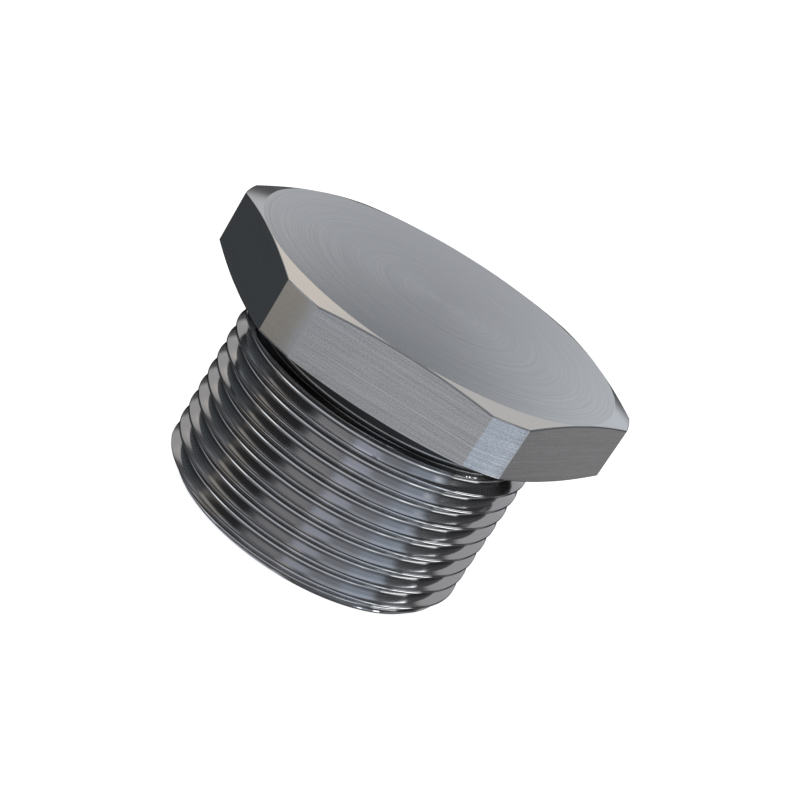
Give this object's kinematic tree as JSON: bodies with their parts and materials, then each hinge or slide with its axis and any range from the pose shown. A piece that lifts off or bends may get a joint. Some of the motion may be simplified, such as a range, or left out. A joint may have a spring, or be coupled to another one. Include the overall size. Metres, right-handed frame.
{
  "type": "threaded plug",
  "caption": "Hexagon-head blanking plug with a relieved neck and a fine right-hand metric thread, closing a tapped hole.",
  "frame": {"origin": "centre of the end face of the thread, the face the plug stands on", "axes": "+Z along the thread's axis from the end face up through the head; +X through a turned corner of the hexagon, so -Y faces a flat"},
  "size_m": [0.033, 0.03, 0.0204],
  "materials": {
    "steel": "bare stainless steel: brushed flats, finely turned top face and chamfers, bright thread"
  },
  "bodies": {
    "root": {"plug": "steel"}
  },
  "joints": []
}
